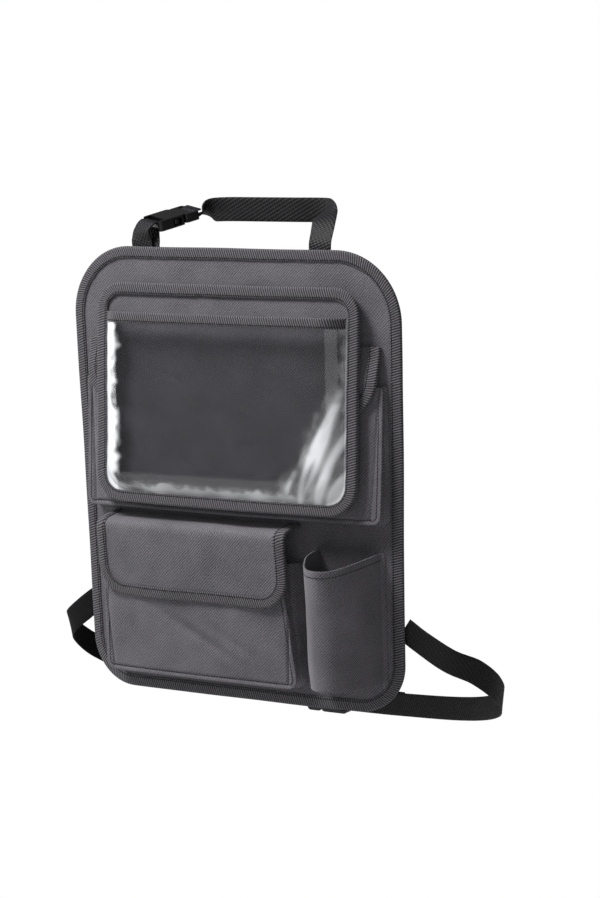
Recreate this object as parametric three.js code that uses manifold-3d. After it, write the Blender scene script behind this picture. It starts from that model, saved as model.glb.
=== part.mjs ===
// A car seat back organizer: a cloth panel that hangs by a webbing strap. It carries a clear sleeve over
// a wide pocket with a flap, a smaller pocket with a flap, and a round pocket.
// Millimetres. X is to the right of someone facing the pockets, -Y faces them and +Z is up.
// The origin is the middle of the panel's rear face.

import * as THREE from 'three';
import { mergeVertices } from 'three/addons/utils/BufferGeometryUtils.js';
import Module from 'manifold-3d';

const wasm = await Module();
wasm.setup();

// Sheet goods
const gap = 0.3; // between pieces that lie against each other
const cloth = 1.5;
const film = 0.8;
const tape = 1.2;
const tapeWidth = 10.5;
const patch = 1.2; // hook or loop fastener
const layer = gap + tape; // what a binding adds to each face and to the edge
const slantGap = 0.7; // between a slanting wall's edge and the sheet that it is sewn to
const fastener = 3 * gap + 2 * patch; // room between a flap and its pocket for hook and loop

// The panel's padding ends short of the tape round its edge, so that the tape lies flush at the back.
const panel = {
  thick: 3, rim: 1.5, top: 230.5, bottom: -231.5, halfTop: 194, halfBottom: 187.5, topRadius: 70, bottomRadius: 50,
};

// The wide pocket's front leans: it stands further from the panel at its bottom than at its mouth.
const upper = {
  left: -174, right: 174, top: 98, bottom: -35, radius: 9,
  mouthDepth: 7, bottomDepth: 18, flare: 4, drop: 6, seamEdge: 2.5, leanLeft: 0, leanRight: 0,
};
const upperFlap = { rise: 39, hem: 62, margin: 2.5, radius: 48 };
const upperPatch = { margin: 47, low: 74, high: 93 };

const sleeve = { halfWidth: 154.5, low: 5, high: 229, lowRadius: 30, highRadius: 27 };
// The film is raised like a tray with its top side open, deepest at the mouth.
const tray = { edge: tapeWidth + 1.5, open: 30, radius: 26, mouthDepth: 17, bottomDepth: 11, shoulder: 9 };
const mouthTapeWidth = 9;

// The smaller pocket stands open: its front is narrower and further from the panel at the mouth.
const lower = {
  left: -154.5, right: 78, top: -84, bottom: -208.5, radius: 10,
  mouthDepth: 28, bottomDepth: 22, flare: 1, drop: 5, seamEdge: 2.5, leanLeft: 7, leanRight: 13,
};
const lowerFlap = { rise: 38, fold: 4, hem: -127, margin: 11, radius: 32, bend: 9 };
const lowerPatch = { low: -114.5, high: -96.5, margin: 32 };

const bottle = {
  centre: 132.5, halfWidth: 34.5, reach: 62, top: -69, bottom: -201, dip: 6, flange: 5, baseRise: 4,
};

// Straps and buckles
const webbing = 25;
const webThick = 1.5;
const strapBack = gap + webThick / 2; // middle of a strap that is sewn to the tape's back
const topStrap = { spread: 105, sewn: 8, tail: 7, back: 67.5, rise: 35.5 };
const footStrap = { sewn: -145, back: 168, drop: 123 };
const buckle = {
  length: 50, width: 33, thick: 11, mouth: 7, bar: 3.4, barThick: 3.5, slot: 5, rail: 3.3,
  mouthThick: 5.2, armThick: 4.6, armTip: -9.5, tongue: 5,
};

const clothLook = { color: 0x4b4b4f, roughness: 0.9, metalness: 0 };
const tapeLook = { color: 0x3d3d41, roughness: 0.85, metalness: 0 };
const webbingLook = { color: 0x1a191c, roughness: 0.7, metalness: 0 };
const elasticLook = { color: 0x141316, roughness: 0.6, metalness: 0 };
const hookLook = { color: 0x1e1e20, roughness: 1, metalness: 0 };
const buckleLook = { color: 0x111113, roughness: 0.35, metalness: 0 };
const filmLook = { color: 0xf2f5f7, roughness: 0.08, metalness: 0, transparent: true, opacity: 0.3 };

const lengthwise = new THREE.Vector3(1, 0, 0);
const upright = new THREE.Vector3(0, 0, 1);

function piece(name, geometry, look) {
  const mesh = new THREE.Mesh(geometry, new THREE.MeshStandardMaterial(look));
  mesh.name = name;
  return mesh;
}

// Booleans

function toSolid(geometry) {
  const bare = geometry.clone();
  bare.deleteAttribute('normal');
  bare.deleteAttribute('uv');
  const merged = mergeVertices(bare, 1e-3);
  return new wasm.Manifold(new wasm.Mesh({
    numProp: 3,
    vertProperties: new Float32Array(merged.attributes.position.array),
    triVerts: new Uint32Array(merged.index.array),
  }));
}

function toGeometry(solid) {
  const mesh = solid.getMesh();
  const geometry = new THREE.BufferGeometry();
  geometry.setAttribute('position', new THREE.BufferAttribute(mesh.vertProperties, 3));
  geometry.setIndex(new THREE.BufferAttribute(mesh.triVerts, 1));
  geometry.computeVertexNormals();
  return geometry;
}

function join(first, ...others) {
  return others.reduce((solid, geometry) => solid.add(toSolid(geometry)), toSolid(first));
}

function cut(solid, ...others) {
  return others.reduce((rest, geometry) => rest.subtract(toSolid(geometry)), solid);
}

// Outlines and sheets

// A convex outline with round corners, given anticlockwise as [x, z, radius] and grown by outset.
function roundedOutline(corners, outset = 0) {
  const outward = corners.map(([x, z], i) => {
    const [nextX, nextZ] = corners[(i + 1) % corners.length];
    return new THREE.Vector2(nextZ - z, x - nextX).normalize();
  });
  const shape = new THREE.Shape();
  corners.forEach(([x, z, size], i) => {
    const before = outward.at(i - 1);
    const after = outward[i];
    const radius = Math.max(size + outset, 0.5);
    const reach = (outset - radius) / (1 + before.dot(after));
    const centreX = x + (before.x + after.x) * reach;
    const centreZ = z + (before.y + after.y) * reach;
    shape.absarc(centreX, centreZ, radius, before.angle(), after.angle(), false);
  });
  return shape;
}

function rectangle(left, right, low, high, lowRadius, highRadius = lowRadius) {
  return [[left, low, lowRadius], [right, low, lowRadius], [right, high, highRadius],
    [left, high, highRadius]];
}

// An upright plate whose rear face is at y = back and whose front face is nearer the viewer.
function plate(outline, back, thick) {
  const geometry = new THREE.ExtrudeGeometry(outline, { depth: thick, bevelEnabled: false, curveSegments: 6 });
  geometry.rotateX(Math.PI / 2);
  geometry.translate(0, back, 0);
  return geometry;
}

function block(x0, x1, y0, y1, z0, z1) {
  const geometry = new THREE.BoxGeometry(x1 - x0, y1 - y0, z1 - z0);
  geometry.translate((x0 + x1) / 2, (y0 + y1) / 2, (z0 + z1) / 2);
  return geometry;
}

// A closed body through loops of equally many points, each loop upright and facing -Y.
function loft(loops) {
  const count = loops[0].length;
  const corners = [];
  loops.slice(1).forEach((loop, k) => {
    const last = loops[k];
    for (let i = 0; i < count; i += 1) {
      const j = (i + 1) % count;
      corners.push(last[i], last[j], loop[j], last[i], loop[j], loop[i]);
    }
  });
  const cap = (loop, flip) => {
    const flat = loop.map(({ x, z }) => new THREE.Vector2(x, z));
    THREE.ShapeUtils.triangulateShape(flat, []).forEach(([a, b, c]) => {
      corners.push(...(flip ? [loop[c], loop[b], loop[a]] : [loop[a], loop[b], loop[c]]));
    });
  };
  cap(loops[0], true);
  cap(loops.at(-1), false);
  return outwardFaces(new THREE.BufferGeometry().setFromPoints(corners));
}

// Turns a body's triangles the other way if they face inward.
function outwardFaces(geometry) {
  const { position } = geometry.attributes;
  const [a, b, c] = [new THREE.Vector3(), new THREE.Vector3(), new THREE.Vector3()];
  let volume = 0;
  for (let i = 0; i < position.count; i += 3) {
    a.fromBufferAttribute(position, i);
    b.fromBufferAttribute(position, i + 1);
    c.fromBufferAttribute(position, i + 2);
    volume += a.dot(b.cross(c));
  }
  if (volume < 0) {
    for (let i = 0; i < position.count; i += 3) {
      b.fromBufferAttribute(position, i + 1);
      c.fromBufferAttribute(position, i + 2);
      position.setXYZ(i + 1, c.x, c.y, c.z);
      position.setXYZ(i + 2, b.x, b.y, b.z);
    }
  }
  geometry.computeVertexNormals();
  return geometry;
}

// A strip of sheet between two edge lines of equally many points.
function strip(edgeA, edgeB, thick) {
  const middle = edgeA.map((point, i) => point.clone().lerp(edgeB[i], 0.5));
  const sections = edgeA.map((a, i) => {
    const b = edgeB[i];
    const along = middle[Math.min(i + 1, middle.length - 1)].clone().sub(middle[Math.max(i - 1, 0)]);
    const across = b.clone().sub(a);
    const lift = along.cross(across).setLength(thick / 2);
    return [a.clone().add(lift), b.clone().add(lift), b.clone().sub(lift), a.clone().sub(lift)];
  });
  const corners = [];
  const quad = (p, q, r, s) => corners.push(p, q, r, p, r, s);
  // Both broad faces are divided along the same diagonal, so they keep their distance where it twists.
  sections.slice(1).forEach((next, k) => {
    const last = sections[k];
    quad(last[0], last[1], next[1], next[0]);
    quad(last[1], last[2], next[2], next[1]);
    quad(last[3], next[3], next[2], last[2]);
    quad(last[3], last[0], next[0], next[3]);
  });
  quad(...sections[0].toReversed());
  quad(...sections.at(-1));
  return outwardFaces(new THREE.BufferGeometry().setFromPoints(corners));
}

// Tape folded round a sheet's edge. sheet(outset, thick, lead) makes the sheet grown by outset, and
// longer by lead at an edge that has no tape.
function binding(sheet, core) {
  const lead = 6;
  const deep = core + 6 * layer;
  const outside = toSolid(sheet(layer, core + 2 * layer, 0));
  return toGeometry(cut(outside, sheet(gap, core + 2 * gap, lead), sheet(-tapeWidth, deep, lead)));
}

// The panel

function panelCorners() {
  return [
    [-panel.halfBottom, panel.bottom, panel.bottomRadius],
    [panel.halfBottom, panel.bottom, panel.bottomRadius],
    [panel.halfTop, panel.top, panel.topRadius],
    [-panel.halfTop, panel.top, panel.topRadius],
  ];
}

function panelSheet(outset, thick) {
  const middle = -panel.thick + panel.rim / 2;
  return plate(roundedOutline(panelCorners(), outset), middle + thick / 2, thick);
}

function backPanel() {
  const padded = plate(roundedOutline(panelCorners(), -tapeWidth - gap), 0, panel.thick);
  return [
    piece('back_panel', toGeometry(join(panelSheet(0, panel.rim), padded)), clothLook),
    piece('panel_binding', binding(panelSheet, panel.rim), tapeLook),
  ];
}

// Pockets

// The outer face of a pocket's front at height z.
function pocketFace(pocket, z) {
  const share = (z - pocket.bottom) / (pocket.top - pocket.bottom);
  return -panel.thick - THREE.MathUtils.lerp(pocket.bottomDepth, pocket.mouthDepth, share);
}

// A group whose plane y = 0 is the outer face of the pocket's front and whose z starts at its bottom.
function pocketPlane(pocket) {
  const group = new THREE.Group();
  const rise = pocket.top - pocket.bottom;
  group.position.set(0, pocketFace(pocket, pocket.bottom), pocket.bottom);
  group.rotation.x = Math.atan2(pocketFace(pocket, pocket.bottom) - pocketFace(pocket, pocket.top), rise);
  return group;
}

// The line down one side of a pocket, along its bottom and up the other side, in x and z.
function pocketLine({ left, right, top, bottom, radius }, wide, drop, leanLeft, leanRight) {
  const path = new THREE.Path();
  const low = bottom - drop;
  const bend = low + radius;
  const steps = 5;
  path.moveTo(left - wide + leanLeft, top);
  for (let i = 1; i < steps; i += 1) {
    path.lineTo(left - wide + leanLeft * (1 - i / steps), THREE.MathUtils.lerp(top, bend, i / steps));
  }
  path.absarc(left - wide + radius, bend, radius, Math.PI, 1.5 * Math.PI, false);
  path.absarc(right + wide - radius, bend, radius, 1.5 * Math.PI, 2 * Math.PI, false);
  for (let i = 1; i <= steps; i += 1) {
    path.lineTo(right + wide - leanRight * (i / steps), THREE.MathUtils.lerp(bend, top, i / steps));
  }
  return path.getPoints(4);
}

function pocketGusset(pocket) {
  const atPanel = pocketLine(pocket, pocket.flare, pocket.drop, 0, 0);
  const atFront = pocketLine(pocket, 0, 0, pocket.leanLeft, pocket.leanRight);
  return strip(
    atPanel.map((p) => new THREE.Vector3(p.x, -panel.thick - slantGap, p.y)),
    atFront.map((p) => new THREE.Vector3(p.x, pocketFace(pocket, p.y) + cloth + slantGap, p.y)),
    cloth,
  );
}

// The front stands a seam's width proud of the gusset at its sides and bottom.
function pocketFront({ left, right, top, bottom, seamEdge, radius, leanLeft, leanRight }) {
  const corners = [
    [left - seamEdge, -seamEdge, radius],
    [right + seamEdge, -seamEdge, radius],
    [right + seamEdge - leanRight, top - bottom, 2],
    [left - seamEdge + leanLeft, top - bottom, 2],
  ];
  return plate(roundedOutline(corners), cloth, cloth);
}

// Hook and loop patches between a pocket's front and its flap
function fastenerPatches(pocket, { low, high }, left, right) {
  const outline = roundedOutline(rectangle(left, right, low - pocket.bottom, high - pocket.bottom, 2));
  return {
    loop: plate(outline, -gap, patch),
    hook: plate(outline, -2 * gap - patch, patch),
  };
}

// A flap hangs from a seam over a pocket: path is its profile in y and z, and its two corners at the
// free end are round.
function flapSheet({ path, left, right, radius }, outset, thick, lead = 0) {
  const length = path.getLength();
  const end = length + outset;
  const round = Math.max(radius + outset, 1);
  const stations = [];
  const straight = end - round;
  const steps = Math.ceil(straight / 4);
  for (let i = 0; i < steps; i += 1) {
    stations.push([THREE.MathUtils.lerp(-lead, straight, i / steps), 0]);
  }
  for (let i = 0; i <= 8; i += 1) {
    const turn = (i / 8) * (Math.PI / 2);
    stations.push([straight + round * Math.sin(turn), round * (1 - Math.cos(turn))]);
  }
  const onPath = (distance) => {
    const held = THREE.MathUtils.clamp(distance / length, 0, 1);
    return path.getPointAt(held).addScaledVector(path.getTangentAt(held), distance - held * length);
  };
  const edge = (x, inward) => stations.map(([distance, inset]) => {
    const point = onPath(distance);
    return new THREE.Vector3(x + inward * inset, point.x, point.y);
  });
  return strip(edge(left - outset, 1), edge(right + outset, -1), thick);
}

function flapPieces(name, flap) {
  const sheet = (outset, thick, lead) => flapSheet(flap, outset, thick, lead);
  return [
    piece(name, sheet(0, cloth, 0), clothLook),
    piece(`${name}_binding`, binding(sheet, cloth), tapeLook),
  ];
}

// The middle of a flap's cloth where it lies over its pocket's front
function flapOver(pocket, z) {
  return pocketFace(pocket, z) - fastener - cloth / 2;
}

function upperFlapPath() {
  const path = new THREE.Path();
  const seam = upper.top + upperFlap.rise;
  const knee = upper.top + 4;
  const curl = 12;
  const atPanel = -panel.thick - gap - layer - cloth / 2;
  path.moveTo(atPanel, seam);
  path.bezierCurveTo(
    atPanel, seam - curl,
    flapOver(upper, knee + curl), knee + curl,
    flapOver(upper, knee), knee,
  );
  path.lineTo(flapOver(upper, upperFlap.hem), upperFlap.hem);
  return path;
}

function lowerFlapPath() {
  const { rise, hem, bend } = lowerFlap;
  const seam = lower.top + rise;
  const fold = seam - lowerFlap.fold;
  const crest = flapOver(lower, fold);
  const path = new THREE.Path();
  path.moveTo(-panel.thick - gap - layer, seam);
  path.lineTo(crest + bend, fold + 0.6);
  path.quadraticCurveTo(crest, fold, flapOver(lower, fold - bend), fold - bend);
  path.lineTo(flapOver(lower, hem), hem);
  return path;
}

function upperPocket() {
  const plane = pocketPlane(upper);
  const { margin, radius } = upperFlap;
  const [left, right] = [upper.left + margin, upper.right - margin];
  const patches = fastenerPatches(upper, upperPatch, left + upperPatch.margin, right - upperPatch.margin);
  const flap = { path: upperFlapPath(), left, right, radius };
  plane.add(
    piece('upper_pocket_front', pocketFront(upper), clothLook),
    piece('upper_pocket_loop_patch', patches.loop, hookLook),
    piece('upper_flap_hook_patch', patches.hook, hookLook),
    tabletSleeve(),
  );
  return [
    plane,
    piece('upper_pocket_gusset', pocketGusset(upper), clothLook),
    ...flapPieces('upper_flap', flap),
  ];
}

function lowerPocket() {
  const plane = pocketPlane(lower);
  const { margin, radius } = lowerFlap;
  const left = lower.left + lower.leanLeft - lower.seamEdge;
  const right = lower.right - lower.leanRight + margin;
  const patches = fastenerPatches(lower, lowerPatch, left + lowerPatch.margin, right - lowerPatch.margin);
  plane.add(
    piece('lower_pocket_front', pocketFront(lower), clothLook),
    piece('lower_pocket_loop_patch', patches.loop, hookLook),
    piece('lower_flap_hook_patch', patches.hook, hookLook),
  );
  return [
    plane,
    piece('lower_pocket_gusset', pocketGusset(lower), clothLook),
    ...flapPieces('lower_flap', { path: lowerFlapPath(), left, right, radius }),
  ];
}

// The tablet sleeve, in a plane of its own whose y = 0 is the rear of its cloth back

function sleeveSheet(outset, thick, core) {
  const { halfWidth, low, high, lowRadius, highRadius } = sleeve;
  const corners = rectangle(-halfWidth, halfWidth, low, high, lowRadius, highRadius);
  return plate(roundedOutline(corners, outset), (thick - core) / 2, thick);
}

const trayLow = sleeve.low + tray.edge;
const trayHigh = sleeve.high - tray.open;

// The space under the raised film, grown by outset on its closed sides. Its side wall bends in toward
// the front like a quarter of an oval.
function traySpace(outset, rear, top) {
  const { edge, radius, mouthDepth, bottomDepth, shoulder } = tray;
  const front = cloth + gap;
  const loop = (turn) => {
    const inset = shoulder * (1 - Math.cos(turn));
    const side = sleeve.halfWidth - edge + outset - inset;
    const corners = rectangle(-side, side, trayLow - outset + inset, top, radius, 0.5);
    return roundedOutline(corners).getPoints(6).map((p) => {
      const depth = THREE.MathUtils.lerp(bottomDepth, mouthDepth, (p.y - trayLow) / (trayHigh - trayLow));
      return new THREE.Vector3(p.x, -front - Math.sin(turn) * (depth + outset), p.y);
    });
  };
  const bends = 5;
  const loops = Array.from({ length: bends + 1 }, (_, i) => loop((i / bends) * (Math.PI / 2)));
  loops.unshift(loops[0].map((p) => new THREE.Vector3(p.x, rear, p.z)));
  return loft(loops);
}

// The raised film between two offsets from its outer face, with its rear and top open
function trayWall(outside, inside, top) {
  const rear = -cloth - gap;
  return cut(toSolid(traySpace(outside, rear, top)), traySpace(inside, rear + 2, top + 10));
}

function sleeveWindow() {
  const edge = sleeve.halfWidth - 1;
  const rear = -cloth - gap;
  const outline = rectangle(-edge, edge, sleeve.low + 1, trayHigh, sleeve.lowRadius - 1, 0.5);
  const flange = toSolid(plate(roundedOutline(outline), rear, film));
  const opened = cut(flange, traySpace(-film / 2, rear + 2, trayHigh + 10));
  return toGeometry(trayWall(0, -film, trayHigh).add(opened));
}

function mouthBinding() {
  const reach = sleeve.halfWidth;
  const clearOfTape = -cloth - 2 * gap - film - layer;
  const zone = block(-reach, reach, -60, clearOfTape, trayHigh - mouthTapeWidth, trayHigh + layer);
  const body = trayWall(layer, -film - layer, trayHigh + layer).intersect(toSolid(zone));
  return toGeometry(body.subtract(trayWall(gap, -film - gap, trayHigh + gap)));
}

function tabletSleeve() {
  const group = new THREE.Group();
  const core = cloth + gap + film;
  group.position.y = -fastener - cloth - 2 * layer - gap;
  group.add(
    piece('tablet_sleeve_back', sleeveSheet(0, cloth, cloth), clothLook),
    piece('tablet_sleeve_window', sleeveWindow(), filmLook),
    piece('tablet_sleeve_binding', binding((out, thick) => sleeveSheet(out, thick, core), core), tapeLook),
    piece('tablet_sleeve_mouth_binding', mouthBinding(), tapeLook),
  );
  return group;
}

// The bottle pocket

// Its wall seen from above: a flange on the panel, half an oval, and a flange again.
function bottleLine(inset, flange) {
  const { centre, halfWidth, reach } = bottle;
  const face = -panel.thick - gap - cloth / 2;
  const curve = new THREE.EllipseCurve(centre, face, halfWidth - inset, reach - inset, Math.PI, 2 * Math.PI);
  const points = curve.getPoints(24);
  if (flange > 0) {
    points.unshift(new THREE.Vector2(centre - halfWidth - flange, face));
    points.push(new THREE.Vector2(centre + halfWidth + flange, face));
  }
  return points;
}

function bottleWall() {
  const { top, bottom, dip, reach, flange } = bottle;
  const line = bottleLine(0, flange);
  return strip(
    line.map((p) => new THREE.Vector3(p.x, p.y, bottom)),
    line.map((p) => new THREE.Vector3(p.x, p.y, top - dip * Math.min(-p.y / reach, 1) ** 2)),
    cloth,
  );
}

function bottleBase() {
  const outline = new THREE.Shape(bottleLine(cloth / 2 + gap, 0));
  const geometry = new THREE.ExtrudeGeometry(outline, { depth: cloth, bevelEnabled: false });
  geometry.translate(0, 0, bottle.bottom + bottle.baseRise);
  return geometry;
}

function bottlePocket() {
  return [
    piece('bottle_pocket_wall', bottleWall(), clothLook),
    piece('bottle_pocket_base', bottleBase(), clothLook),
  ];
}

// Straps

// A strap through stations of a middle point and the direction of its width.
function ribbon(stations, thick = webThick, width = webbing) {
  const curve = new THREE.CatmullRomCurve3(stations.map(([point]) => point), false, 'centripetal');
  const perSpan = 4;
  const spans = stations.length - 1;
  const [edgeA, edgeB] = [[], []];
  for (let i = 0; i <= spans * perSpan; i += 1) {
    const span = Math.min(Math.floor(i / perSpan), spans - 1);
    const share = i / perSpan - span;
    const point = curve.getPoint(i / (spans * perSpan));
    const tangent = curve.getTangent(i / (spans * perSpan));
    const across = stations[span][1].clone().lerp(stations[span + 1][1], share);
    across.addScaledVector(tangent, -across.dot(tangent)).setLength(width / 2);
    edgeA.push(point.clone().sub(across));
    edgeB.push(point.clone().add(across));
  }
  return strip(edgeA, edgeB, thick);
}

function station(x, y, z, across) {
  return [new THREE.Vector3(x, y, z), across];
}

function direction(x, y, z) {
  return new THREE.Vector3(x, y, z).normalize();
}

// A side-release buckle lies along its own X axis, with its socket on the -X side, its width along Y
// and its thickness along Z. Each half has a bar at its outer end for a strap.

const barCentre = buckle.length / 2 - buckle.bar / 2;

function slab(corners, half) {
  const geometry = new THREE.ExtrudeGeometry(roundedOutline(corners), {
    depth: 2 * half, bevelEnabled: false, curveSegments: 4,
  });
  geometry.translate(0, 0, -half);
  return geometry;
}

// What a buckle half loses at its bar: the slot, and the room above and below the bar
function barCuts(side) {
  const { length, width, bar, barThick, slot, rail } = buckle;
  const inner = width / 2 - rail;
  const ends = [side * (length / 2 + 1), side * (length / 2 - bar - slot)].sort((a, b) => a - b);
  const slotEnds = [side * (length / 2 - bar), side * (length / 2 - bar - slot)].sort((a, b) => a - b);
  return [
    block(...slotEnds, -inner, inner, -20, 20),
    block(...ends, -inner, inner, barThick / 2, 20),
    block(...ends, -inner, inner, -20, -barThick / 2),
  ];
}

// The socket is hollow, with a window in each side for the end of the plug's arm.
function buckleSocket() {
  const { length, width, thick, mouth, rail, mouthThick, armTip } = buckle;
  const body = slab(rectangle(-length / 2, mouth, -width / 2, width / 2, 4), thick / 2);
  const inner = width / 2 - rail;
  const [hollow, side] = [mouthThick / 2, mouthThick / 2 + 0.8];
  return toGeometry(cut(
    toSolid(body),
    ...barCuts(-1),
    block(armTip - 2.5, mouth + 1, -inner, inner, -hollow, hollow),
    block(armTip + 1.5, 2, inner - 2, width, -side, side),
    block(armTip + 1.5, 2, -width, 2 - inner, -side, side),
  ));
}

// A springy arm of the plug, whose end swells out to fill the socket's side window
function plugArm(side) {
  const shape = new THREE.Shape();
  const { mouth, width, armThick, armTip } = buckle;
  const root = mouth + 2;
  const outer = width / 2;
  shape.moveTo(root, outer - 9.5);
  shape.lineTo(root, outer - 5);
  shape.lineTo(1.2, outer - 3.9);
  shape.quadraticCurveTo(0, outer, -3.2, outer - 0.4);
  shape.quadraticCurveTo(-6, outer - 1, armTip + 2.3, outer - 4.5);
  shape.lineTo(armTip, outer - 7.5);
  shape.quadraticCurveTo(-2, outer - 7.1, root, outer - 9.5);
  const geometry = new THREE.ExtrudeGeometry(shape, { depth: armThick, bevelEnabled: false, curveSegments: 5 });
  geometry.translate(0, 0, -armThick / 2);
  if (side < 0) {
    geometry.rotateX(Math.PI);
  }
  return geometry;
}

function bucklePlug() {
  const { length, width, thick, mouth, tongue } = buckle;
  const base = slab(rectangle(mouth + gap, length / 2, -width / 2, width / 2, 4), thick / 2 - 0.8);
  const middle = block(-7, mouth + 2, -tongue / 2, tongue / 2, -2, 2);
  return toGeometry(cut(join(base, plugArm(1), plugArm(-1), middle), ...barCuts(1)));
}

// A group that holds a buckle at a point, lying along axis with its face toward facing.
function buckleFrame(centre, axis, facing) {
  const group = new THREE.Group();
  const across = facing.clone().cross(axis).normalize();
  const up = axis.clone().cross(across);
  group.matrix.makeBasis(axis, across, up).setPosition(centre);
  group.matrix.decompose(group.position, group.quaternion, group.scale);
  return group;
}

// How a strap comes to a buckle's bar from below: by a point so far out and so high from the bar's
// middle, and then onto the bar from a certain angle
const levelApproach = { out: 6, height: -3.9, from: -90 };
const steepApproach = { out: 3, height: -7, from: -45 };

// The strap's stations round the bar on one side of a buckle, from below it to above it, for a strap
// that comes with its width along sense
function roundBar(frame, side, sense, approach) {
  const radius = Math.hypot(buckle.bar / 2, buckle.barThick / 2) + gap + webThick / 2;
  const across = new THREE.Vector3(0, 1, 0).applyQuaternion(frame.quaternion);
  across.multiplyScalar(Math.sign(across.dot(sense)));
  const turn = [-90, -45, 0, 45, 90].filter((degrees) => degrees >= approach.from).map((degrees) => {
    const angle = THREE.MathUtils.degToRad(degrees);
    return [barCentre - radius * Math.cos(angle), radius * Math.sin(angle)];
  });
  const start = [barCentre + approach.out, approach.height];
  return [start, ...turn, [barCentre + 6, radius + 0.4]].map(([out, height]) => (
    [frame.localToWorld(new THREE.Vector3(side * out, 0, height)), across]
  ));
}

function buckleHalves(name, frame) {
  frame.add(
    piece(`${name}_buckle_socket`, buckleSocket(), buckleLook),
    piece(`${name}_buckle_plug`, bucklePlug(), buckleLook),
  );
  return frame;
}

// The top strap goes up from the panel and over to the back, where it stands on edge. On the left it
// ends in a loose tail that hangs down between the panel and the strap.
function headrestStraps() {
  const { spread, sewn, tail, back, rise } = topStrap;
  const { top } = panel;
  const run = top + rise;
  const sewnAt = top - sewn;
  const axis = direction(0.4, 0.89, 0.2);
  const frame = buckleFrame(new THREE.Vector3(13 - spread, back - rise, run - 7.5), axis, direction(0, -0.3, 1));
  frame.updateMatrixWorld();
  const leftX = -spread - 3 + tail;
  const left = [
    station(leftX, strapBack + 1.9, sewnAt, lengthwise),
    station(leftX, strapBack + 2, top - 1, lengthwise),
    station(leftX - 0.5, strapBack + 3, top + 4, lengthwise),
    ...roundBar(frame, -1, lengthwise, steepApproach),
    station(leftX - tail, 1.2, top + 18.5, direction(0.9, -0.35, 0)),
    station(leftX - tail - 0.5, strapBack + 0.2, top + 7.5, lengthwise),
    station(leftX - tail, strapBack + 0.1, top, lengthwise),
    station(leftX - tail, strapBack, sewnAt + 1, lengthwise),
  ];
  const right = [
    station(spread, strapBack, sewnAt, lengthwise),
    station(spread, strapBack + 0.1, top + 1, lengthwise),
    station(spread - 0.3, strapBack + 1.6, top + 9, lengthwise),
    station(spread - 1.5, 9, run - 17, lengthwise),
    station(spread - 6, 21, run - 7, direction(1, 0.15, 0.1)),
    station(spread - 13, 36, run - 2, direction(0.95, 0.1, 0.25)),
    station(spread - 22, back - 14, run, direction(0.5, 0.1, 0.85)),
    station(spread - 33, back, run, upright),
    station(spread - 70, back, run, upright),
    station(100 - spread, back, run, upright),
    station(65 - spread, back, run, upright),
    station(49 - spread, back + 0.5, run - 0.5, direction(0.35, -0.1, 0.93)),
    station(37 - spread, back + 0.5, run - 1.5, direction(0.7, -0.25, 0.65)),
    station(29 - spread, back - 3, run - 3.5, direction(0.9, -0.38, 0.25)),
    ...roundBar(frame, 1, lengthwise, levelApproach).slice(1),
  ];
  return [
    buckleHalves('headrest', frame),
    piece('headrest_strap_left', ribbon(left), webbingLook),
    piece('headrest_strap_right', ribbon(right), webbingLook),
  ];
}

// The lower strap slopes down from the panel's two side edges and closes behind, where its buckle lies.
// Each point is so far out from the panel's edge, and at a share of the way back and of the drop.
const footRun = [
  { out: 0, back: 0, down: 0, across: [0.57, 0, 0.82] },
  { out: 18, back: 0.012, down: 0.1, across: [0.57, 0, 0.82] },
  { out: 44, back: 0.07, down: 0.25, across: [0.5, 0.15, 0.82] },
  { out: 60, back: 0.24, down: 0.38, across: [0.25, 0.4, 0.85] },
  { out: 62, back: 0.5, down: 0.6, across: [0, 0.5, 0.86] },
  { out: 40, back: 0.78, down: 0.82, across: [-0.1, 0.3, 0.95] },
  { out: -10, back: 0.95, down: 0.95, across: [0, 0.1, 1] },
  { out: -98, back: 1, down: 1, across: [0, 0, 1] },
];

function lowerStraps() {
  const { sewn, back, drop } = footStrap;
  const low = sewn - drop;
  const frame = buckleFrame(new THREE.Vector3(0, back, low), new THREE.Vector3(-1, 0, 0), direction(0, 1, 0));
  frame.updateMatrixWorld();
  const toBuckle = (side) => {
    const run = footRun.map((point) => {
      const [wx, wy, wz] = point.across;
      const x = side * (panel.halfBottom + point.out);
      const y = THREE.MathUtils.lerp(strapBack, back - 1, point.back);
      return station(x, y, sewn - drop * point.down, direction(side * wx, wy, wz));
    });
    const bend = roundBar(frame, -side, upright, levelApproach);
    const [end] = bend.at(-1);
    const tail = [35, 63].map((out) => station(end.x + side * out, end.y + 0.4, low, upright));
    return [...run, ...bend, ...tail];
  };
  return [
    buckleHalves('lower', frame),
    piece('lower_strap_right', ribbon(toBuckle(1)), webbingLook),
    piece('lower_strap_left', ribbon(toBuckle(-1)), elasticLook),
  ];
}

const organizer = new THREE.Group();
organizer.name = 'car_seat_back_organizer';
organizer.add(
  ...backPanel(), ...upperPocket(), ...lowerPocket(), ...bottlePocket(), ...headrestStraps(), ...lowerStraps(),
);

export default organizer;
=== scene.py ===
import math

import bmesh
import bpy
from mathutils import Matrix, Vector, noise
from mathutils.geometry import interpolate_bezier


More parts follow.
